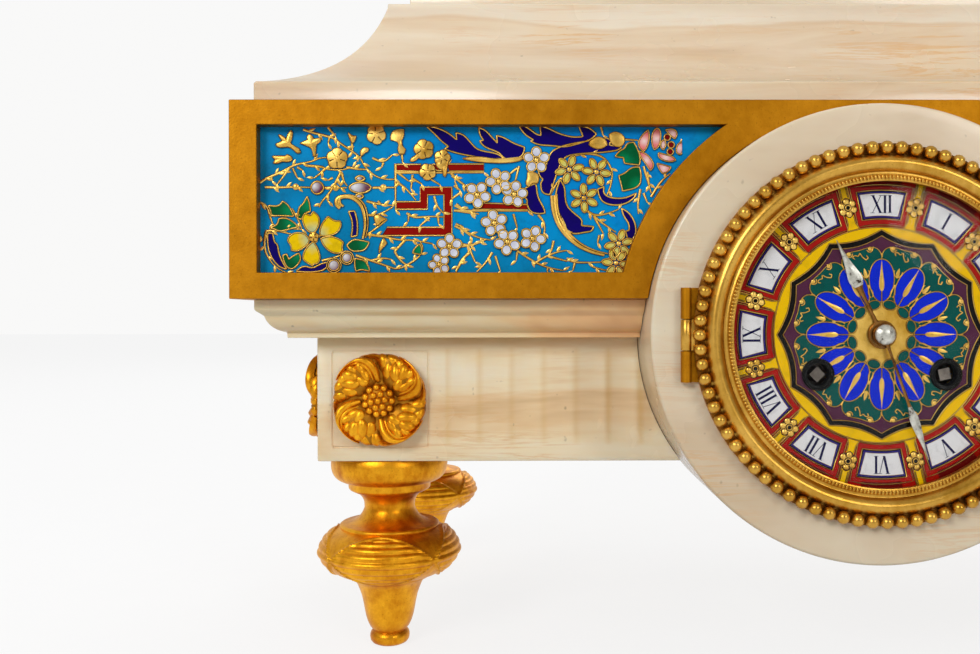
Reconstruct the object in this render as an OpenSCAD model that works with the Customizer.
// Figural mantel clock: onyx case with a gilt frieze, enamel panels, a low round dial
// and a robed gilt figure, with its eight-day striking movement inside.
// Frame: +Z up, the dial faces -Y, origin on the shelf at the middle of the clock.

/* [Case] */
// Width of the case over the gilt frieze
case_w = 399; // [380:1:430]
// Depth of the case from frieze face to flat back
case_d = 180; // [176:1:200]
// Height of the turned feet
foot_h = 67.8; // [66:0.1:74]
// Height of the fluted onyx block
block_h = 41.6; // [40:0.1:46]
// How far the block stands in from the frieze
block_inset = 22.4; // [20:0.1:25]
// Height of the lower onyx moulding
moulding_h = 12.5; // [12:0.1:15]
// How far the moulding's top stands in from the frieze
moulding_inset = 6; // [4:0.1:8]
// How far the moulding's foot stands in from the frieze
moulding_foot_inset = 14.4; // [12:0.1:17]
// Height of the gilt frieze
frieze_h = 62; // [60:0.1:68]
// Height of the hollow-sided top slab
slab_h = 44.2; // [40:0.1:50]
// Height of the slab's upright edge
slab_edge_h = 7.4; // [5:0.1:9]
// How far the slab's edge stands in from the frieze
slab_inset = 6; // [4:0.1:8]
// How far the slab's top stands in from the frieze
slab_top_inset = 43.2; // [38:0.1:47]
// Height of the upper plinth under the figure
plinth_h = 30; // [26:0.5:36]
// How far the plinth's foot stands in from the frieze
plinth_inset = 50.3; // [49:0.1:54]
// How far the plinth's top stands in from the frieze
plinth_top_inset = 96; // [85:1:100]

/* [Frieze] */
// Thickness of the gilt frame plates
frame_t = 6; // [5:0.1:8]
// Width of the frame's top rail
top_rail = 7.8; // [6:0.1:10]
// Width of the frame's bottom rail
bottom_rail = 8.2; // [6:0.1:10]
// Width of the frame's stiles
stile = 8.7; // [7:0.1:11]
// Radius of the enamel panels' round end
panel_arc_r = 79.2; // [76:0.1:84]
// Thickness of the enamelled copper panels
enamel_t = 1.5; // [1:0.1:2.5]
// How far a panel reaches under its frame
panel_lap = 1.6; // [1:0.1:2.5]

/* [Fluting] */
// Distance between flutes
flute_pitch = 10.8; // [10:0.1:12]
// Depth of a flute
flute_depth = 1.2; // [0.8:0.1:2]
// Height of a flute
flute_h = 33.4; // [30:0.1:35]
// Distance of the rosettes and feet from the block's faces
corner_in = 21.2; // [20:0.1:24]
// Side of the square cut round each rosette
square_side = 32; // [31:0.1:36]
// Width of the cut line of that square
square_line = 0.9; // [0.6:0.1:1.4]

/* [Rosettes] */
// Radius of a rosette
rosette_r = 15.4; // [14.4:0.1:15.6]
// How far a rosette stands proud
rosette_proud = 7; // [5:0.1:8]
// Radius of a rosette's middle boss
rosette_boss_r = 4.6; // [3.5:0.1:5.5]

/* [Feet] */
// Widest radius of a foot
foot_r = 25; // [22:0.1:27]
// Radius of a foot's cap under the block
foot_cap_r = 20.6; // [19:0.1:22]
// Radius of a foot's neck
foot_neck_r = 8.9; // [8:0.1:10]
// Radius of a foot's toe
foot_toe_r = 6.8; // [5.5:0.1:8]

/* [Dial] */
// Height of the dial centre above the block's top
dial_rise = 1.3; // [0:0.1:3]
// Radius of the onyx roundel
roundel_r = 69.7; // [68:0.1:71]
// Thickness of the roundel
roundel_t = 46; // [42:1:60]
// How far the roundel stands in front of the frieze
roundel_proud = 11; // [9:0.1:14]
// Radius of the dial
dial_r = 48.6; // [47.5:0.1:49]
// Thickness of the enamelled dial
dial_t = 1.4; // [1:0.1:2]
// Radius of the bezel's opening
sight_r = 45.7; // [44.5:0.1:46.3]
// Radius over the bezel's beads
bezel_r = 57.6; // [57:0.1:58.5]
// Number of beads round the bezel
bead_count = 80; // [60:1:84]
// Radius of a bead
bead_r = 1.85; // [1.5:0.05:1.95]
// Rise of the domed glass
glass_rise = 4.2; // [3.6:0.1:6]
// Thickness of the glass
glass_t = 1; // [0.8:0.1:1.2]
// Height of the bezel's hinge
hinge_h = 28.4; // [24:0.1:32]
// Radius of the hinge knuckles
knuckle_r = 1.6; // [1.4:0.05:1.7]
// Radius of the hinge pins
hinge_pin_r = 0.7; // [0.5:0.05:0.8]

/* [Hands] */
// Length of the hour hand
hour_len = 31.7; // [28:0.1:33]
// Length of the minute hand
minute_len = 39.7; // [37:0.1:41]
// Hour hand's place, degrees clockwise from twelve
hour_at = -26; // [-180:1:180]
// Minute hand's place, degrees clockwise from twelve
minute_at = 160.4; // [0:0.1:360]

/* [Movement] */
// Radius of the movement plates
plate_r = 44; // [43:0.1:45]
// Thickness of the movement plates
plate_t = 2; // [1.6:0.1:2.4]
// Clear space between the plates
plate_gap = 34; // [33:0.5:38]
// Distance of each winding arbor from the middle line
winding_x = 19.3; // [19.2:0.05:20]
// How far the winding arbors lie below the dial centre
winding_drop = 12; // [11:0.1:13]
// Side of the winding squares
winding_square = 3.4; // [3:0.1:3.5]
// Radius of a spring barrel
barrel_r = 15.5; // [14.5:0.1:15.6]
// Length of a spring barrel
barrel_l = 18.5; // [16:0.5:19]
// Radius of the bearing pivots
pivot_r = 0.6; // [0.5:0.05:0.65]
// Radial play of pivots in their holes
pivot_play = 0.05; // [0.03:0.01:0.08]
// Height of the pallet arbor above the dial centre
pallet_rise = 30; // [29.5:0.1:31]
// Distance from the suspension to the bob's centre
pendulum_l = 72.5; // [70:0.1:73]
// Radius of the pendulum bob
bob_r = 9; // [7:0.1:9.2]
// Radius of the bell
bell_r = 28; // [26:0.1:28.5]
// How far the bezel's edge reaches past the inside of the sleeve
bezel_lap = 4.1; // [3.8:0.1:4.6]
// Wall of the sleeve
sleeve_t = 1.2; // [0.8:0.1:1.4]

/* [Figure] */
// Height of the robed figure
figure_h = 190; // [170:1:210]
// Height of the figure's bronze base
figure_base_h = 12; // [10:0.5:16]
// Height of the short column beside the figure
column_h = 66; // [60:1:72]

/* [Hidden] */

// Small gap between fitted pieces and overshoot of cuts
fit = 0.1;
cut = 1;
seat = 0.3;
round_fn = 96;

// Heights from the shelf
block_z = foot_h;
moulding_z = block_z + block_h;
frieze_z = moulding_z + moulding_h;
slab_z = frieze_z + frieze_h;
plinth_z = slab_z + slab_h;
figure_z = plinth_z + plinth_h;
dial_z = moulding_z + dial_rise;
half_w = case_w / 2;
sleeve_r = bezel_r - bezel_lap;
block_w = case_w - 2 * block_inset;
block_d = case_d - block_inset;
rosette_z = block_z + block_h / 2;
flute_low = 0.63 * (block_h - flute_h);
corner_x = block_w / 2 - corner_in;
corner_y = [block_inset + corner_in, case_d - corner_in];

// Depths from the frieze face, front is negative
face_y = -roundel_proud;
flange_t = 1;
flange_y = face_y - flange_t;
bezel_y = flange_y - 0.2;
dial_front = face_y + 1;
dial_back = dial_front + dial_t;
ledge_t = 1.6;
ledge_y = dial_back + ledge_t;
plate1_y = 0;
plate1_back = plate1_y + plate_t;
plate2_y = plate1_back + plate_gap;
plate2_back = plate2_y + plate_t;
bead_y = bezel_y - bead_r - 0.05;
glass_y = bezel_y - 1.2;
rear_ring_t = 2.4;
rear_door_t = 1.8;
door_y = case_d + rear_ring_t + 0.2;
door_knob_l = 5;
back_y = door_y + rear_door_t + door_knob_l;
glass_sphere_r = (pow(sight_r + 1.4, 2) + pow(glass_rise, 2)) / (2 * glass_rise);
glass_front = glass_y - glass_rise;
y_shift = -(glass_front + back_y) / 2;

bore_r = sleeve_r + sleeve_t + 0.1;
hinge_x = bezel_r + knuckle_r + 0.3;
hinge_y = face_y - knuckle_r - 0.3;
rear_ring_r = bezel_r + 4.1;
rear_hinge_x = rear_ring_r + knuckle_r + 0.3;
rear_hinge_y = case_d + knuckle_r + 0.3;
strap_r = sleeve_r - 4.6;
strap_t = 4;
strap_w = 8;

// Points on the movement, dial centre at zero, x right, y up
function polar(r, a) = [r * cos(a), r * sin(a)];
function aim(p, q) = atan2(q[1] - p[1], q[0] - p[0]);
function meet(p, rp, q, rq, side) =
  let (d = norm(q - p), a = (d * d + rp * rp - rq * rq) / (2 * d),
       h = sqrt(max(0, rp * rp - a * a)), u = (q - p) / d)
  p + a * u + side * h * [-u[1], u[0]];
// Points from a to b along a shallow curve that bows s to the left
function bow(a, b, s, n = 8) =
  let (u = (b - a) / norm(b - a))
  [for (i = [0:n]) let (t = i / n) a + (b - a) * t + 4 * s * t * (1 - t) * [-u[1], u[0]]];
function flipped(v) = [for (i = [len(v) - 1:-1:0]) v[i]];

// Gear modules and leaf counts
great_m = (norm([winding_x, winding_drop]) - 4.33) / 40;
great_n = 72;
second_pinion_n = 8;
second_m = 0.3;
second_n = 60;
centre_pinion_n = 10;
centre_m = 0.25;
centre_n = 72;
third_pinion_n = 6;
third_m = 0.22;
third_n = 72;
escape_pinion_n = 6;
escape_n = 46;
escape_r = 7.8;
cannon_m = 0.3;
cannon_n = 12;
minute_n = 36;
hour_n = 40;
hour_pinion_n = 10;
hour_m = cannon_m * (cannon_n + minute_n) / (hour_n + hour_pinion_n);
pin_pinion_n = 8;
pin_m = 0.22;
pin_n = 60;
fly_pinion_n = 6;

// Places of the arbors
centre_p = [0, 0];
going_p = [winding_x, -winding_drop];
strike_p = [-winding_x, -winding_drop];
great_d = great_m * (great_n + second_pinion_n) / 2;
going_second_p = meet(going_p, great_d, centre_p,
  second_m * (second_n + centre_pinion_n) / 2, -1);
third_p = polar(centre_m * (centre_n + third_pinion_n) / 2, 117.5);
escape_d = third_m * (third_n + escape_pinion_n) / 2;
escape_p = [0, third_p[1] + sqrt(escape_d * escape_d - third_p[0] * third_p[0])];
pallet_p = [0, pallet_rise];
minute_p = polar(cannon_m * (cannon_n + minute_n) / 2, 45);
strike_second_p = strike_p + polar(great_d, 100);
pin_p = strike_second_p + polar(centre_m * (centre_n + pin_pinion_n) / 2, 60);
fly_p = pin_p + polar(pin_m * (pin_n + fly_pinion_n) / 2, 110);
hammer_p = pin_p + polar(14.5, 149);
pillar_p = [for (a = [60, 120, 240, 300]) polar(plate_r - 4.4, a)];
strap_at = [-1, 1];

// Planes of the wheels between the plates
great_y = plate1_back + 1;
wheel_t = 1.4;
second_y = great_y + 2.5 + barrel_l + 1.5;
centre_y = second_y + 3;
third_y = centre_y + 3;
escape_y = second_y - 4;
strike_second_y = centre_y - 1;
pin_y = strike_second_y - 3.2;

module placed() translate([0, y_shift, 0]) children();

// A round bar along the depth, from y0 to y1, at p from the dial centre
module bar(r, y0, y1, p = [0, 0])
  translate([p[0], y0, dial_z + p[1]]) rotate([-90, 0, 0])
    cylinder(r = r, h = y1 - y0, $fn = round_fn);

// A flat shape drawn as seen from the front, from y0 to y1
module flat(y0, y1, p = [0, 0])
  translate([p[0], y1, dial_z + p[1]]) rotate([90, 0, 0])
    linear_extrude(height = y1 - y0) children();

// A turned shape round a line along the depth, profile points are [radius, forward]
module turned_front(y0, p = [0, 0])
  translate([p[0], y0, dial_z + p[1]]) rotate([90, 0, 0])
    rotate_extrude($fn = round_fn) children();

module pipe(r, bore, y0, y1, p = [0, 0]) difference() {
  bar(r, y0, y1, p);
  bar(bore, y0 - cut, y1 + cut, p);
}

// A moulded onyx or bronze block: edge points are [inset from frieze, height]
module moulded(edge, z0) translate([0, 0, z0]) intersection() {
  translate([0, case_d + cut, 0]) rotate([90, 0, 0])
    linear_extrude(height = case_d + 2 * cut)
      polygon(concat([for (p = edge) [half_w - p[0], p[1]]],
        [for (p = flipped(edge)) [p[0] - half_w, p[1]]]));
  rotate([90, 0, 90]) translate([0, 0, -half_w - cut])
    linear_extrude(height = case_w + 2 * cut)
      polygon(concat([for (p = edge) p], [[case_d, edge[len(edge) - 1][1]], [case_d, edge[0][1]]]));
}

// The passage through the case for roundel and sleeve
module passage(gap = 0.2) {
  bar(roundel_r + gap, face_y - cut, face_y + roundel_t + gap);
  bar(sleeve_r + sleeve_t + gap, face_y, case_d + cut);
}

module rod_holes(z0, z1) for (x = [-corner_x, corner_x], y = corner_y)
  translate([x, y, z0]) cylinder(r = rod_r + fit, h = z1 - z0, $fn = 48);
rod_r = 2;
rod_z0 = 8;
rod_z1 = slab_z + 6;

// Onyx case

module top_slab() placed() color("wheat") difference() {
  moulded(concat([[slab_inset, 0], [slab_inset, slab_edge_h - 0.6], [slab_inset + 0.6, slab_edge_h]],
    bow([slab_inset + 1.4, slab_edge_h], [slab_top_inset, slab_h - 1.5], -6.4, 12),
    [[slab_top_inset, slab_h]]), slab_z);
  rod_holes(slab_z - cut, rod_z1 + 0.5);
  translate([0, figure_y, slab_z - cut])
    cylinder(r = rod_r + fit, h = slab_h + 2 * cut, $fn = 48);
  translate([0, figure_y, slab_z - cut])
    cylinder(r = bolt_head_r + seat, h = bolt_head_h + seat + cut, $fn = 48);
}

bolt_head_r = 6;
bolt_head_h = 5;
figure_y = case_d / 2 + 14;

module upper_plinth() placed() color("wheat") difference() {
  intersection() {
    moulded(concat([[plinth_inset, 0], [plinth_inset, 8]],
      bow([plinth_inset + 1.5, 8], [plinth_top_inset, plinth_h - 3], -5, 10),
      [[plinth_top_inset, plinth_h]]), plinth_z);
    translate([-half_w, 0, plinth_z - cut]) cube([case_w, case_d - plinth_back, plinth_h + 2 * cut]);
  }
  translate([0, figure_y, plinth_z - cut])
    cylinder(r = rod_r + fit, h = plinth_h + 2 * cut, $fn = 48);
}
plinth_back = 7;

module lower_moulding() placed() color("wheat") difference() {
  moulded(concat([[moulding_foot_inset, 0], [moulding_foot_inset, 1.9]],
    bow([moulding_foot_inset - 0.8, 2], [moulding_inset + 2.5, moulding_h - 5.4], 1),
    bow([moulding_inset + 2.4, moulding_h - 5.3], [moulding_inset + 0.4, moulding_h - 3.8], -0.2, 4),
    [[moulding_inset, moulding_h - 3.7], [moulding_inset, moulding_h]]), moulding_z);
  passage();
  rod_holes(moulding_z - cut, frieze_z + cut);
}

module flute(h) {
  r = (pow(flute_pitch / 2 - 0.5, 2) + pow(flute_depth, 2)) / (2 * flute_depth);
  translate([0, flute_depth - r, 0]) {
    translate([0, 0, flute_pitch / 2]) cylinder(r = r, h = h - flute_pitch, $fn = 48);
    translate([0, 0, h - flute_pitch / 2]) sphere(r = r, $fn = 48);
    translate([0, 0, flute_pitch / 2]) sphere(r = r, $fn = 48);
  }
}

// Flutes along a face of the given length, centred on x, cut into +Y
module flute_row(len) {
  n = round((len - 4 * corner_in) / flute_pitch);
  for (i = [0:n - 1]) translate([(i - (n - 1) / 2) * flute_pitch, 0, 0]) flute(flute_h);
}

// The square line round a rosette, cut into +Y
module square_cut() difference() {
  translate([-square_side / 2, -cut, -square_side / 2]) cube([square_side, cut + 0.6, square_side]);
  translate([-square_side / 2 + square_line, -2 * cut, -square_side / 2 + square_line])
    cube([square_side - 2 * square_line, 4 * cut, square_side - 2 * square_line]);
}

module base_block() placed() color("wheat") difference() {
  translate([-block_w / 2, block_inset, block_z]) cube([block_w, block_d, block_h]);
  passage();
  rod_holes(block_z - cut, moulding_z + cut);
  translate([0, block_inset, block_z + flute_low]) flute_row(block_w);
  for (s = [-1, 1]) {
    translate([s * corner_x, block_inset, rosette_z]) square_cut();
    translate([s * block_w / 2, block_inset + block_d / 2, block_z + flute_low])
      rotate([0, 0, s * 90]) flute_row(block_d);
    for (y = corner_y) translate([s * block_w / 2, y, rosette_z]) rotate([0, 0, s * 90]) square_cut();
  }
}

module roundel() placed() color("wheat")
  turned_front(face_y + roundel_t) polygon(concat([[bore_r, 0], [roundel_r - 1, 0], [roundel_r, 1]],
    bow([roundel_r, roundel_t - 2.4], [roundel_r - 2.4, roundel_t], -0.7, 5),
    [[bore_r, roundel_t]]));

// The frieze's core, a block of timber between the bronze frames

module frieze_core() placed() color("saddlebrown") difference() {
  translate([-half_w + frame_t, frame_t, frieze_z])
    cube([case_w - 2 * frame_t, case_d - frame_t - rear_panel_t, frieze_h]);
  passage();
  rod_holes(frieze_z - cut, slab_z + cut);
}
rear_panel_t = 6;

module rear_panel() placed() color("wheat") difference() {
  translate([-half_w + frame_t, case_d - rear_panel_t, frieze_z])
    cube([case_w - 2 * frame_t, rear_panel_t, frieze_h]);
  passage();
}

// Window in a frieze plate of length l, centred, with a lap for the panel behind
module window_2d(l, grow = 0)
  translate([-l / 2 + stile - grow, bottom_rail - grow])
    square([l - 2 * stile + 2 * grow, frieze_h - top_rail - bottom_rail + 2 * grow]);

// Opening for one front panel, side is -1 for left, drawn from the dial centre
module panel_2d(side, grow = 0) difference() {
  translate([side < 0 ? -half_w + stile - grow : 0, frieze_z - dial_z + bottom_rail - grow])
    square([half_w - stile + grow, frieze_h - top_rail - bottom_rail + 2 * grow]);
  circle(r = panel_arc_r - grow, $fn = round_fn);
}

module frieze_frame() placed() color("darkgoldenrod") difference() {
  translate([-half_w, 0, frieze_z]) cube([case_w, frame_t, frieze_h]);
  passage();
  for (s = [-1, 1]) {
    flat(-cut, frame_t + cut) panel_2d(s);
    flat(frame_t - enamel_t, frame_t + cut) panel_2d(s, panel_lap);
  }
}

module front_panel(s) flat(frame_t - enamel_t, frame_t) panel_2d(s, panel_lap - fit);
module enamel_panel_left() placed() color("deepskyblue") front_panel(-1);
module enamel_panel_right() placed() color("deepskyblue") front_panel(1);

// Places a shape drawn for the left side onto side s, lying in the side's plane
module on_side(s, depth) translate([s * (half_w - depth), (frame_t + case_d) / 2, frieze_z])
  rotate([90, 0, s * 90]) children();

module side_frames() placed() color("darkgoldenrod") for (s = [-1, 1]) difference() {
  on_side(s, frame_t) translate([-(case_d - frame_t) / 2, 0, 0])
    cube([case_d - frame_t, frieze_h, frame_t]);
  on_side(s, frame_t + cut) linear_extrude(height = frame_t + 2 * cut) window_2d(case_d - frame_t);
  on_side(s, frame_t + cut) linear_extrude(height = enamel_t + cut)
    window_2d(case_d - frame_t, panel_lap);
}

module side_enamels() placed() color("deepskyblue") for (s = [-1, 1])
  on_side(s, frame_t) linear_extrude(height = enamel_t)
    window_2d(case_d - frame_t, panel_lap - fit);

// Gilt rosettes and feet

module rosette() {
  difference() {
    union() {
      rotate_extrude($fn = 64) polygon(concat([[0, 0], [rosette_r, 0], [rosette_r, 0.8]],
        bow([rosette_r, 1], [rosette_boss_r + 1.8, rosette_proud - 3.4], -0.8),
        [[rosette_boss_r + 1.6, rosette_proud - 3], [0, rosette_proud - 3]]));
      for (i = [0:3]) rotate([0, 0, 45 + 90 * i]) translate([rosette_r * 0.6, 0, -1.2])
        sphere(r = rosette_r * 0.37, $fn = 32);
      translate([0, 0, rosette_proud - rosette_boss_r]) sphere(r = rosette_boss_r, $fn = 32);
      translate([0, 0, rosette_proud - 3]) rotate_extrude($fn = 48)
        translate([rosette_boss_r + 0.7, 0]) circle(r = 0.8, $fn = 16);
    }
    translate([0, 0, -10]) cube([4 * rosette_r, 4 * rosette_r, 20], center = true);
  }
}

module front_rosettes() placed() color("gold") for (s = [-1, 1])
  translate([s * corner_x, block_inset, rosette_z]) rotate([90, 0, 0]) rosette();

module side_rosettes() placed() color("gold") for (s = [-1, 1], y = corner_y)
  translate([s * block_w / 2, y, rosette_z]) rotate([0, s * 90, 0]) rosette();

// A foot's outline from toe to cap
toe_h = 5.4;
cup_z = 24;
widest_z = 34;
waist_z = 44.2;
foot_outline = concat([[0, 0], [foot_toe_r - 2, 0]],
  bow([foot_toe_r - 2, 0.2], [foot_toe_r - 0.8, toe_h - 0.6], -2.1),
  bow([foot_toe_r - 0.2, toe_h + 0.4], [foot_neck_r + 0.1, 15.4], 0.4),
  bow([foot_neck_r + 0.5, 17], [foot_r - 11.4, cup_z + 0.6], -0.9),
  bow([foot_r - 9.6, cup_z + 1.3], [foot_r, widest_z], -1.5),
  bow([foot_r, widest_z + 0.2], [foot_r - 9, waist_z - 1.2], -2.4),
  bow([foot_r - 12, waist_z], [foot_neck_r, waist_z + 4.4], 1.4),
  bow([foot_neck_r, waist_z + 7.8], [foot_cap_r - 6.4, waist_z + 11.4], 1),
  bow([foot_cap_r - 6, waist_z + 12.4], [foot_cap_r - 1.2, waist_z + 15.6], -1),
  [[foot_cap_r - 0.6, waist_z + 16], [foot_cap_r, foot_h - 5], [foot_cap_r, foot_h], [0, foot_h]]);

module foot(x, y) placed() color("gold") translate([x, y, 0]) difference() {
  rotate_extrude($fn = round_fn) polygon(foot_outline);
  translate([0, 0, rod_z0 - 1]) cylinder(r = rod_r + fit, h = foot_h, $fn = 48);
}
module foot_front_left() foot(-corner_x, corner_y[0]);
module foot_front_right() foot(corner_x, corner_y[0]);
module foot_rear_left() foot(-corner_x, corner_y[1]);
module foot_rear_right() foot(corner_x, corner_y[1]);

// Four rods that tie the feet to the slab, and the figure's bolt
module fixing_rods() placed() color("slategray") {
  for (x = [-corner_x, corner_x], y = corner_y)
    translate([x, y, rod_z0]) cylinder(r = rod_r, h = rod_z1 - rod_z0, $fn = 48);
  translate([0, figure_y, slab_z + seat]) cylinder(r = bolt_head_r, h = bolt_head_h, $fn = 6);
  translate([0, figure_y, slab_z + seat])
    cylinder(r = rod_r, h = figure_z + figure_base_h - 3 - slab_z, $fn = 48);
}

// Dial, surround, bezel

module sleeve() placed() color("goldenrod")
  pipe(sleeve_r + sleeve_t, sleeve_r, ledge_y, case_d);

post_r = 2;
post_at = plate_r - 2.4;
module dial_surround() placed() color("gold") {
  pipe(bezel_r - 0.4, dial_r + 0.2, flange_y, face_y);
  pipe(sleeve_r + sleeve_t, dial_r + 0.2, face_y, dial_back);
  pipe(sleeve_r + sleeve_t, post_at - post_r, dial_back, ledge_y);
  for (a = [90, 210, 330]) bar(post_r, ledge_y - 0.5, plate1_y, polar(post_at, a));
  for (s = [-1, 1]) knuckle(s * hinge_h / 3, hinge_h / 3 - 0.2, -hinge_x, hinge_y, -bezel_r + 4,
    [flange_y, face_y - 0.05]);
}

// A hinge knuckle round a standing pin, with a leaf to x1 between depths ys
module knuckle(z, h, x, y, x1, ys) translate([0, 0, dial_z + z - h / 2]) difference() {
  union() {
    translate([x, y, 0]) cylinder(r = knuckle_r, h = h, $fn = 48);
    translate([min(x, x1), ys[0], 0]) cube([abs(x1 - x), ys[1] - ys[0], h]);
  }
  translate([x, y, -cut]) cylinder(r = hinge_pin_r + 0.05, h = h + 2 * cut, $fn = 32);
}

module dial_plate() placed() color("firebrick") difference() {
  bar(dial_r, dial_front, dial_back);
  bar(3, dial_front - cut, dial_back + cut);
  for (p = [going_p, strike_p]) bar(grommet_r + 0.05, dial_front - cut, dial_back + cut, p);
}
grommet_r = 4.4;

module winding_grommets() placed() color("black") for (p = [going_p, strike_p]) {
  pipe(grommet_r, grommet_r - 0.9, dial_front, dial_back, p);
  pipe(grommet_r + 0.7, grommet_r - 0.9, dial_front - 0.5, dial_front, p);
}

module bezel() placed() color("gold") {
  turned_front(bezel_y) polygon(concat(
    [[sight_r + 2, 0], [bezel_r - 0.4, 0], [bezel_r - 0.4, 1.1], [bezel_r - 3.4, 1.1]],
    bow([bezel_r - 3.8, 1.3], [bezel_r - 9.6, 2.1], -2.2, 12),
    [[sight_r + 1.4, 2.1], [sight_r + 1.2, 3.2], [sight_r, 3.2], [sight_r, 1.3], [sight_r + 2, 1.3]]));
  for (i = [0:bead_count - 1]) bar_bead(i * 360 / bead_count);
  knuckle(0, hinge_h / 3 - 0.2, -hinge_x, hinge_y, -bezel_r + 3, [bezel_y - 1, bezel_y]);
}
module bar_bead(a) translate([(bezel_r - bead_r) * cos(a), bead_y, dial_z + (bezel_r - bead_r) * sin(a)])
  sphere(r = bead_r, $fn = 24);

module bezel_glass() placed() color("lightcyan", 0.3) {
  turned_front(bezel_y) polygon([[sight_r - 0.6, 0.1], [sight_r + 1.9, 0.1], [sight_r + 1.9, 1.2],
    [sight_r - 0.6, 1.2]]);
  intersection() {
    difference() {
      translate([0, glass_front + glass_sphere_r, dial_z]) sphere(r = glass_sphere_r, $fn = round_fn);
      translate([0, glass_front + glass_sphere_r, dial_z])
        sphere(r = glass_sphere_r - glass_t, $fn = round_fn);
    }
    bar(sight_r - 0.1, glass_front - cut, bezel_y - 0.1);
  }
}

module hinge_pins() placed() color("gold") {
  translate([-hinge_x, hinge_y, dial_z - hinge_h / 2 + 0.1]) cylinder(r = hinge_pin_r, h = hinge_h - 0.2,
    $fn = 32);
  translate([rear_hinge_x, rear_hinge_y, dial_z - hinge_h / 2 + 0.1])
    cylinder(r = hinge_pin_r, h = hinge_h - 0.2, $fn = 32);
}

// Hands

// A pointed leaf between two places on the hand's line, w wide at its broadest
module leaf(y0, y1, w) polygon(concat(bow([0, y0], [0, y1], -w / 2, 10), bow([0, y1], [0, y0], -w / 2, 10)));

module hour_hand() placed() color("silver") rotate_at(hour_at) difference() {
  flat(dial_front - 1.4, dial_front - 0.7) {
    circle(r = 4.3, $fn = 48);
    leaf(3, 11, 2.2);
    leaf(9.4, hour_len, 5.2);
  }
  bar(hour_pipe_r + 0.02, dial_front - 3, dial_front);
}

module minute_hand() placed() color("silver") rotate_at(minute_at) difference() {
  flat(dial_front - 2.6, dial_front - 2) {
    circle(r = 3.4, $fn = 48);
    leaf(2.4, 23, 1.9);
    leaf(20.6, minute_len, 4);
  }
  bar(arbor_r, dial_front - 4, dial_front);
}

// Turns a shape clockwise about the dial centre
module rotate_at(a) translate([0, 0, dial_z]) rotate([0, a, 0]) translate([0, 0, -dial_z]) children();

hour_pipe_r = 2.6;
cannon_r = 1.5;
arbor_r = 1;
module hand_nut() placed() color("silver") difference() {
  union() {
    bar(3.1, dial_front - 3.4, dial_front - 2.6);
    translate([0, dial_front - 2.9, dial_z]) sphere(r = 2.2, $fn = 48);
  }
  bar(arbor_r, dial_front - 3, dial_front);
  bar(6, dial_front - 2.6, dial_front);
}

// Wheels: teeth as four-cornered flats with play, a tooth centred on angle at

module teeth(n, m, add, ded, root, tip, at) polygon([for (i = [0:n - 1])
  let (a = at + i * 360 / n, p = 360 / n, ro = (n / 2 + add) * m, ri = (n / 2 - ded) * m)
  each [polar(ri, a - root * p), polar(ro, a - tip * p), polar(ro, a + tip * p), polar(ri, a + root * p)]]);

module wheel(n, m, y, t, p, at) flat(y, y + t, p) teeth(n, m, 0.9, 1.25, 0.25, 0.1, at);
module pinion(n, m, y, t, p, at) flat(y, y + t, p) teeth(n, m, 0.7, 1.3, 0.23, 0.1, at);

// A wheel with crossed-out spokes
module spoked(n, m, y, t, p, at) difference() {
  wheel(n, m, y, t, p, at);
  flat(y - cut, y + t + cut, p) difference() {
    circle(r = (n / 2 - 1.25) * m - 1, $fn = 64);
    circle(r = 2, $fn = 32);
    for (a = [0, 90]) rotate(a) square([n * m, 1], center = true);
  }
}

// An arbor with a pivot in each plate; its pinion alone spans the wheel at mesh_y that it meets
module arbor(p, mesh_y, r = arbor_r, y1 = plate2_y - 0.3) {
  pinion_end = mesh_y + wheel_t + 0.1;
  bar(r, plate1_back + 0.3, mesh_y - 0.1, p);
  if (y1 > pinion_end) bar(r, pinion_end, y1, p);
  bar(pivot_r, plate1_y + 0.2, mesh_y - 0.1, p);
  bar(pivot_r, pinion_end, plate2_back - 0.2, p);
}

// A spring barrel with its teeth, hollow for the spring
module barrel(p, at) {
  difference() {
    union() {
      wheel(great_n, great_m, great_y, 2.2, p, at);
      bar(barrel_r, great_y + 2.2, great_y + 2.2 + barrel_l, p);
    }
    bar(barrel_r - 1.2, great_y + 3, great_y + 1.2 + barrel_l, p);
    bar(winding_r + pivot_play, great_y - cut, great_y + barrel_l + 4, p);
  }
  flat(great_y + 3.6, great_y + barrel_l + 0.6, p) spring_2d();
}

// Mainspring, a flat band coiled between the barrel's core and wall
spring_turns = 5;
function spring_point(i, off) = let (t = i / 36)
  polar(winding_r + 0.35 + off + (barrel_r - 1.6 - winding_r) * t / spring_turns, 360 * t);
module spring_2d() polygon(concat([for (i = [0:36 * spring_turns]) spring_point(i, 0)],
  [for (i = [36 * spring_turns:-1:0]) spring_point(i, 0.5)]));

winding_r = 2.45;
module winding_arbor(p, turn) {
  bar(winding_r, plate1_y - 2.4, plate2_back - 0.2, p);
  flat(dial_front + 0.4, plate1_y - 2.4, p) rotate(turn)
    square([winding_square, winding_square], center = true);
  flat(plate1_y - 1.7, plate1_y - 0.5, p)
    polygon([for (i = [0:ratchet_n - 1]) each [polar(ratchet_r - 1, i * 360 / ratchet_n),
      polar(ratchet_r, (i + 0.9) * 360 / ratchet_n)]]);
}
ratchet_n = 20;
ratchet_r = 6;

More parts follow.
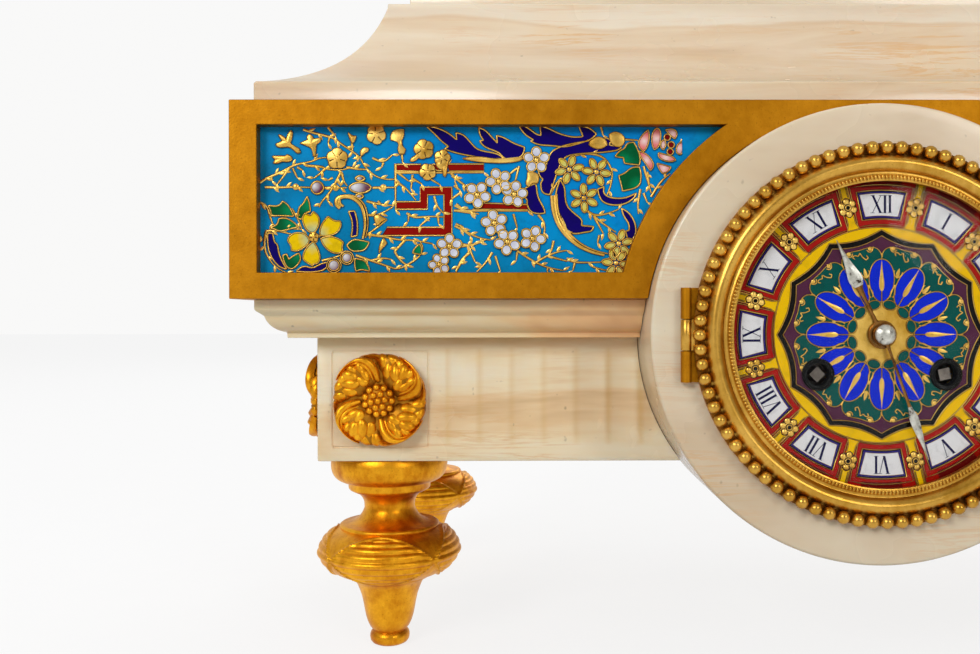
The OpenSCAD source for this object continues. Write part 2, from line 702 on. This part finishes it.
// A click beside its ratchet, s is the side it stands on
click_r = 1.6;
function click_p(s) = [s * winding_x, -winding_drop] + polar(11, s > 0 ? -50 : 230);
module click(s) {
  p = click_p(s);
  c = [s * winding_x, -winding_drop];
  a = aim(p, c);
  difference() {
    flat(plate1_y - 1.7, plate1_y - 0.5, p) {
      circle(r = click_r, $fn = 32);
      rotate(a + s * 14) polygon([[0, -1.2], [4.4 - 0.2, -0.5], [4.4 - 0.2, 0.5], [0, 1.2]]);
    }
    bar(click_pin_r + pivot_play, -5, plate1_y, p);
  }
}
click_pin_r = 0.7;

module going_barrel() placed() color("goldenrod") barrel(going_p, aim(going_p, going_second_p));
module strike_barrel() placed() color("goldenrod") barrel(strike_p, aim(strike_p, strike_second_p));
module going_winding_arbor() placed() color("slategray") winding_arbor(going_p, 12);
module strike_winding_arbor() placed() color("slategray") winding_arbor(strike_p, 45);
module going_click() placed() color("slategray") click(1);
module strike_click() placed() color("slategray") click(-1);

// Angle that puts a gap of an n-leaf pinion at p towards q
function gap_to(p, q, n) = aim(p, q) + 180 / n;

module going_second_wheel() placed() color("goldenrod") {
  arbor(going_second_p, great_y);
  pinion(second_pinion_n, great_m, great_y - 0.4, 3, going_second_p,
    gap_to(going_second_p, going_p, second_pinion_n));
  spoked(second_n, second_m, second_y, wheel_t, going_second_p, aim(going_second_p, centre_p));
}

module centre_wheel() placed() color("goldenrod") {
  bar(arbor_r, plate1_back + 0.3, plate2_y - 0.3);
  bar(arbor_r, dial_front - 3, plate1_back + 0.4);
  bar(pivot_r, plate2_y - 0.4, plate2_back - 0.2);
  pinion(centre_pinion_n, second_m, second_y - 0.4, wheel_t + 0.8, centre_p,
    gap_to(centre_p, going_second_p, centre_pinion_n));
  spoked(centre_n, centre_m, centre_y, wheel_t, centre_p, aim(centre_p, third_p));
  pinion(cannon_n, cannon_m, plate1_y - 2.2, 1.6, centre_p, aim(centre_p, minute_p));
  bar(cannon_r, dial_front - 1.9, plate1_y - 2.2);
}

module minute_wheel() placed() color("goldenrod") difference() {
  union() {
    wheel(minute_n, cannon_m, plate1_y - 2, 1.2, minute_p, gap_to(minute_p, centre_p, minute_n));
    pinion(hour_pinion_n, hour_m, plate1_y - 4.8, 2.9, minute_p,
      gap_to(minute_p, centre_p, hour_pinion_n));
  }
  bar(stud_r + pivot_play, plate1_y - 6, plate1_y, minute_p);
}
stud_r = 0.5;

module hour_wheel() placed() color("goldenrod") difference() {
  union() {
    wheel(hour_n, hour_m, plate1_y - 4.4, 1.2, centre_p, aim(centre_p, minute_p));
    bar(hour_pipe_r, dial_front - 1.6, plate1_y - 3.2);
  }
  bar(cannon_r + pivot_play, dial_front - 4, plate1_y);
}

module third_wheel() placed() color("goldenrod") {
  arbor(third_p, centre_y, pivot_r, third_y - 0.8);
  pinion(third_pinion_n, centre_m, centre_y - 0.8, wheel_t + 1.2, third_p,
    gap_to(third_p, centre_p, third_pinion_n));
  spoked(third_n, third_m, third_y, wheel_t, third_p, aim(third_p, escape_p));
}

module escape_wheel() placed() color("goldenrod") {
  arbor(escape_p, third_y, pivot_r, third_y);
  pinion(escape_pinion_n, third_m, third_y - 0.6, wheel_t + 1.2, escape_p,
    gap_to(escape_p, third_p, escape_pinion_n));
  difference() {
    flat(escape_y, escape_y + 1, escape_p) polygon([for (i = [0:escape_n - 1])
      each [polar(escape_r - 1.1, i * 360 / escape_n), polar(escape_r, (i + 0.35) * 360 / escape_n)]]);
    flat(escape_y - cut, escape_y + 1 + cut, escape_p) difference() {
      circle(r = escape_r - 2.1, $fn = 64);
      circle(r = 1.8, $fn = 32);
      for (a = [0, 90]) rotate(a) square([30, 0.9], center = true);
    }
  }
}

// Anchor with its crutch behind the back plate
module anchor() placed() color("slategray") {
  reach = escape_r + 1.05;
  drop = pallet_rise - escape_p[1];
  tip = [reach * 0.722, reach * 0.692 - drop];
  bar(0.9, plate1_back + 0.3, plate2_y - 0.3, pallet_p);
  bar(pivot_r, plate1_y + 0.2, plate2_back + 4.4, pallet_p);
  flat(escape_y - 0.3, escape_y + 1.3, pallet_p) for (s = [0, 1]) mirror([s, 0]) polygon([[0, 1.8],
    [tip[0] + 1.6, tip[1] + 3.6], [tip[0] + 1.2, tip[1] - 0.2], tip, [tip[0] - 0.4, tip[1] + 3], [0, -1.2]]);
  flat(plate2_back + 1, plate2_back + 2, pallet_p) {
    circle(r = 1.6, $fn = 32);
    translate([-0.5, -22]) square([1, 21]);
  }
  for (x = [-1, 1]) flat(plate2_back + 1.6, plate2_back + 9, pallet_p + [x * 1.2, -22])
    square([0.6, 1.6], center = true);
  flat(plate2_back + 1, plate2_back + 2, pallet_p + [0, -22]) square([3, 1.6], center = true);
}

// Pendulum: suspension spring with its clip, rod and lens bob
pendulum_y = plate2_back + 7;
bob_t = 4.4;
module pendulum() placed() color("goldenrod") {
  flat(pendulum_y - 0.1, pendulum_y + 0.1, pallet_p) translate([-1.6, -3.6]) square([3.2, 6.4]);
  flat(pendulum_y - 1, pendulum_y + 1, pallet_p) translate([-1.4, -7]) square([2.8, 3.6]);
  translate([0, pendulum_y, dial_z + pallet_rise - pendulum_l])
    cylinder(r = 0.7, h = pendulum_l - 6, $fn = 24);
  turned_front(pendulum_y + bob_t / 2, pallet_p - [0, pendulum_l])
    polygon([[0, 0], [bob_r - 1.4, 0], [bob_r, 1.2], [bob_r, bob_t - 1.2], [bob_r - 1.4, bob_t], [0, bob_t]]);
}

// Bracket on the back plate that holds the suspension spring and the pallet pivot
module suspension_block() placed() color("goldenrod") difference() {
  union() {
    flat(plate2_back, plate2_back + 1, pallet_p) translate([-5, 2.6]) square([10, 7]);
    for (s = [-1, 1]) flat(plate2_back, pendulum_y + 2.4, pallet_p)
      translate([s > 0 ? 2 : -4, 3.6]) square([2, 5]);
    flat(pendulum_y + 0.3, pendulum_y + 2.4, pallet_p) translate([-4, 3.6]) square([8, 5]);
    flat(pendulum_y - 2.2, pendulum_y - 0.3, pallet_p) translate([-4, 3.6]) square([8, 5]);
    flat(plate2_back + 3, plate2_back + 4.6, pallet_p) translate([-4, -2.2]) square([8, 10]);
    for (s = [-1, 1]) flat(plate2_back, plate2_back + 4.6, pallet_p)
      translate([s > 0 ? 3 : -5, -2.2]) square([2, 10]);
  }
  bar(pivot_r + pivot_play, plate2_back, plate2_back + 6, pallet_p);
}

// Strike train

module strike_second_wheel() placed() color("goldenrod") {
  arbor(strike_second_p, great_y);
  bar(1.4, plate2_back + 0.3, plate2_back + 2.6, strike_second_p);
  bar(pivot_r, plate2_back - 0.4, plate2_back + 1, strike_second_p);
  pinion(second_pinion_n, great_m, great_y - 0.4, 3, strike_second_p,
    gap_to(strike_second_p, strike_p, second_pinion_n));
  spoked(centre_n, centre_m, strike_second_y, wheel_t, strike_second_p, aim(strike_second_p, pin_p));
  // Count wheel, notched at 1, 2, 3 and on to 12 blows
  flat(plate2_back + 1, plate2_back + 2, strike_second_p) difference() {
    circle(r = count_r, $fn = 64);
    for (i = [1:12]) rotate(i * (i + 1) / 2 * 360 / 90) translate([count_r, 0])
      square([2, 0.7], center = true);
  }
}
count_r = 9;

module pin_wheel() placed() color("goldenrod") {
  arbor(pin_p, strike_second_y, 0.8);
  pinion(pin_pinion_n, centre_m, strike_second_y - 0.5, wheel_t + 1, pin_p,
    gap_to(pin_p, strike_second_p, pin_pinion_n));
  spoked(pin_n, pin_m, pin_y, wheel_t, pin_p, aim(pin_p, fly_p));
  for (i = [0:9]) bar(0.4, pin_y - 1.4, pin_y + 0.2, pin_p + polar(5.7, i * 36));
}

module fly() placed() color("goldenrod") {
  arbor(fly_p, pin_y, pivot_r);
  pinion(fly_pinion_n, pin_m, pin_y - 0.5, wheel_t + 1, fly_p, gap_to(fly_p, pin_p, fly_pinion_n));
  flat(great_y + 4, great_y + 15, fly_p) rotate(25) square([11, 0.6], center = true);
}

// Hammer: arbor, lifting tail, arm and head
bell_y = pendulum_y + 6;
hammer_y = bell_y + 7;
module hammer() placed() color("slategray") {
  head_p = [-bell_r - 0.5 - 4.5, 0];
  bar(0.9, plate1_back + 0.3, plate2_y - 0.3, hammer_p);
  bar(pivot_r, plate1_y + 0.2, plate2_y, hammer_p);
  bar(0.8, plate2_y - 0.4, hammer_y + 1, hammer_p);
  flat(pin_y - 1.4, pin_y - 0.2, hammer_p) rotate(aim(hammer_p, pin_p)) translate([0, -0.6])
    square([7.6, 1.2]);
  flat(hammer_y - 0.8, hammer_y + 0.8, hammer_p) rotate(aim(hammer_p, head_p)) translate([0, -0.8])
    square([norm(head_p - hammer_p), 1.6]);
  translate([head_p[0] - 4.5, hammer_y, dial_z + head_p[1]]) rotate([0, 90, 0])
    cylinder(r = 3.4, h = 9, $fn = 48);
}

module bell() placed() color("goldenrod") turned_front(bell_y + 15)
  polygon(concat(bow([bell_r, 15], [2, 0], 5.6, 10), flipped(bow([bell_r - 1.4, 15], [2, 1.2], 5.2, 10))));

// Steel standard that carries the bell behind the pendulum
stand_p = [24, 22];
module bell_stand() placed() color("slategray") {
  bar(2, plate2_back, bell_y + 18, stand_p);
  bar(3.4, plate2_back, plate2_back + 1.4, stand_p);
  flat(bell_y + 16, bell_y + 18, stand_p) rotate(aim(stand_p, [0, 0])) translate([0, -2])
    square([norm(stand_p), 4]);
  bar(1.9, bell_y + 12, bell_y + 18);
  bar(3.2, bell_y + 15.4, bell_y + 18);
  bar(3, bell_y + 11.2, bell_y + 13.4);
}

// Movement plates, pillars and straps

arbor_holes = [going_second_p, third_p, escape_p, pallet_p, strike_second_p, pin_p, fly_p, hammer_p];

module front_plate() placed() color("goldenrod") {
  difference() {
    bar(plate_r, plate1_y, plate1_back);
    for (p = arbor_holes) bar(pivot_r + pivot_play, plate1_y - cut, plate1_back + cut, p);
    bar(arbor_r + pivot_play, plate1_y - cut, plate1_back + cut);
    for (p = [going_p, strike_p]) bar(winding_r + pivot_play, plate1_y - cut, plate1_back + cut, p);
  }
  bar(stud_r, plate1_y - 5.4, plate1_y + 0.1, minute_p);
  for (s = [-1, 1]) {
    bar(click_pin_r, plate1_y - 1.9, plate1_y + 0.1, click_p(s));
    bar(click_r, plate1_y - 2.4, plate1_y - 1.8, click_p(s));
  }
}

module back_plate() placed() color("goldenrod") difference() {
  bar(plate_r, plate2_y, plate2_back);
  for (p = concat(arbor_holes, [centre_p]))
    bar(pivot_r + pivot_play, plate2_y - cut, plate2_back + cut, p);
  bar(0.8 + pivot_play, plate2_y - cut, plate2_back + cut, hammer_p);
  for (p = [going_p, strike_p]) bar(winding_r + pivot_play, plate2_y - cut, plate2_back + cut, p);
}

module pillars() placed() color("goldenrod") for (p = pillar_p) bar(2.6, plate1_back, plate2_y, p);

module movement_straps() placed() color("slategray") for (s = strap_at) difference() {
  translate([s > 0 ? strap_r : -strap_r - strap_t, ledge_y, dial_z - strap_w / 2])
    cube([strap_t, case_d - ledge_y, strap_w]);
  bar(1.25, case_d - 12, case_d + cut, [s * (strap_r + strap_t / 2), 0]);
}

module strap_screws() placed() color("slategray") for (s = strap_at) {
  bar(1.2, case_d - 10, case_d + 1.2, [s * (strap_r + strap_t / 2), 0]);
  bar(2.3, case_d + 1, case_d + rear_ring_t - 0.1, [s * (strap_r + strap_t / 2), 0]);
}

// Rear door

module rear_ring() placed() color("gold") {
  difference() {
    bar(rear_ring_r, case_d, case_d + rear_ring_t);
    bar(strap_r - 1, case_d - cut, case_d + rear_ring_t + cut);
    for (s = strap_at) {
      bar(1.3, case_d - cut, case_d + 4, [s * (strap_r + strap_t / 2), 0]);
      bar(2.4, case_d + 0.9, case_d + 4, [s * (strap_r + strap_t / 2), 0]);
    }
  }
  for (s = [-1, 1]) knuckle(s * hinge_h / 3, hinge_h / 3 - 0.2, rear_hinge_x, rear_hinge_y,
    rear_ring_r - 3, [case_d + 0.3, case_d + rear_ring_t]);
}

module rear_door() placed() color("gold") {
  difference() {
    bar(rear_ring_r - 1, door_y, door_y + rear_door_t);
    for (i = [0:11]) bar(2.6, door_y - cut, door_y + 4, polar(30, i * 30));
    for (i = [0:5]) bar(2.6, door_y - cut, door_y + 4, polar(15, i * 60));
  }
  bar(1.4, door_y + rear_door_t - 0.2, door_y + rear_door_t + 2.4, [-rear_ring_r + 7, 0]);
  translate([-rear_ring_r + 7, back_y - 2.6, dial_z]) sphere(r = 2.6, $fn = 32);
  knuckle(0, hinge_h / 3 - 0.2, rear_hinge_x, rear_hinge_y, rear_ring_r - 4,
    [door_y, door_y + 1.2]);
}

// Figure group

module clipped(w, d, c) polygon([[-w / 2 + c, -d / 2], [w / 2 - c, -d / 2], [w / 2, -d / 2 + c],
  [w / 2, d / 2 - c], [w / 2 - c, d / 2], [-w / 2 + c, d / 2], [-w / 2, d / 2 - c], [-w / 2, -d / 2 + c]]);

base_w = 132;
base_d = 64;
figure_x = -14;
column_x = base_w / 2 - 32;
column_r = 11;
module figure_base() placed() color("darkgoldenrod") translate([0, figure_y, figure_z]) difference() {
  union() {
    linear_extrude(height = figure_base_h * 0.6) clipped(base_w, base_d, 9);
    translate([0, 0, figure_base_h * 0.6 - 0.1]) linear_extrude(height = figure_base_h * 0.4 + 0.1)
      clipped(base_w - 10, base_d - 10, 7);
    translate([column_x, 0, figure_base_h - 0.1]) {
      cylinder(r = column_r + 3, h = 5, $fn = 48);
      cylinder(r = column_r, h = column_h, $fn = 48);
      translate([0, 0, column_h - 5]) cylinder(r = column_r + 3, h = 5, $fn = 48);
    }
  }
  translate([0, 0, -cut]) cylinder(r = rod_r + fit, h = figure_base_h - 2 + cut, $fn = 48);
}

// Robe outline with soft folds, s is its half width
function robe(s, folds, deep) = [for (i = [0:65]) let (a = i * 360 / 66)
  s * (1 + deep * cos(folds * a)) * [cos(a), 0.82 * sin(a)]];

// An egg-shaped lump with the given half sizes
module lump(p, h, n = 20) hull() translate(p) scale(h) sphere(r = 1, $fn = n);

// A limb from ball to ball
module limb(a, ra, b, rb) hull() {
  translate(a) sphere(r = ra, $fn = 16);
  translate(b) sphere(r = rb, $fn = 16);
}

module figure() placed() color("goldenrod")
  translate([figure_x, figure_y, figure_z + figure_base_h]) scale(figure_h / 190) {
    linear_extrude(height = 60, scale = 0.74, slices = 4) polygon(robe(29, 11, 0.06));
    translate([0, 0, 59.9]) linear_extrude(height = 48, scale = 0.72, slices = 4)
      polygon(robe(21.5, 11, 0.05));
    lump([0, 0, 96], [18, 14, 22]);
    lump([0, 0, 122], [14.5, 11, 18]);
    lump([0, -1, 134], [16.5, 11.5, 15]);
    limb([-14, 0, 145], 6.4, [14, 0, 145], 6.4);
    limb([0, 0, 146], 6.6, [0, -1, 160], 5.2);
    lump([0, -2, 172], [9.2, 10.6, 12.6], 28);
    lump([0, 3.4, 175], [10.6, 10.4, 11.6], 24);
    lump([0, 14, 174], [5.6, 5.6, 5.6]);
    limb([-18, 0, 143], 6, [-23, 2, 116], 4.8);
    limb([-23, 2, 116], 4.8, [-17, -14, 98], 3.6);
    limb([18, 0, 143], 6, [27, 3, 119], 4.8);
    limb([27, 3, 119], 4.8, [37, -10, 104], 3.4);
    lump([-15.5, -17, 95], [4, 4.6, 4.6], 12);
    lump([39.5, -11.5, 101.5], [4.2, 3.8, 4], 12);
  }

lyre_z = figure_z + figure_base_h + column_h;
module lyre() placed() color("gold") translate([column_x, figure_y, lyre_z]) rotate([90, 0, 0])
  translate([0, 0, -2.5]) linear_extrude(height = 5) {
    translate([-9, 0]) square([18, 3]);
    translate([0, 9]) circle(r = 9, $fn = 48);
    for (s = [0, 1]) mirror([s, 0])
      polygon(concat(bow([8, 8], [12.2, 32.6], -5), bow([10, 32.6], [5, 10], 4.6)));
    translate([-15, 31]) square([30, 2.4]);
    for (x = [-3, -1, 1, 3]) translate([x - 0.25, 15]) square([0.5, 17]);
  }

top_slab();
upper_plinth();
figure_base();
figure();
lyre();
frieze_core();
frieze_frame();
side_frames();
rear_panel();
enamel_panel_left();
enamel_panel_right();
side_enamels();
lower_moulding();
base_block();
roundel();
front_rosettes();
side_rosettes();
foot_front_left();
foot_front_right();
foot_rear_left();
foot_rear_right();
fixing_rods();
sleeve();
dial_surround();
dial_plate();
winding_grommets();
bezel();
bezel_glass();
hinge_pins();
front_plate();
back_plate();
pillars();
going_barrel();
strike_barrel();
going_winding_arbor();
strike_winding_arbor();
going_click();
strike_click();
going_second_wheel();
centre_wheel();
minute_wheel();
hour_wheel();
hour_hand();
minute_hand();
hand_nut();
third_wheel();
escape_wheel();
anchor();
suspension_block();
pendulum();
strike_second_wheel();
pin_wheel();
fly();
hammer();
bell();
bell_stand();
movement_straps();
strap_screws();
rear_ring();
rear_door();
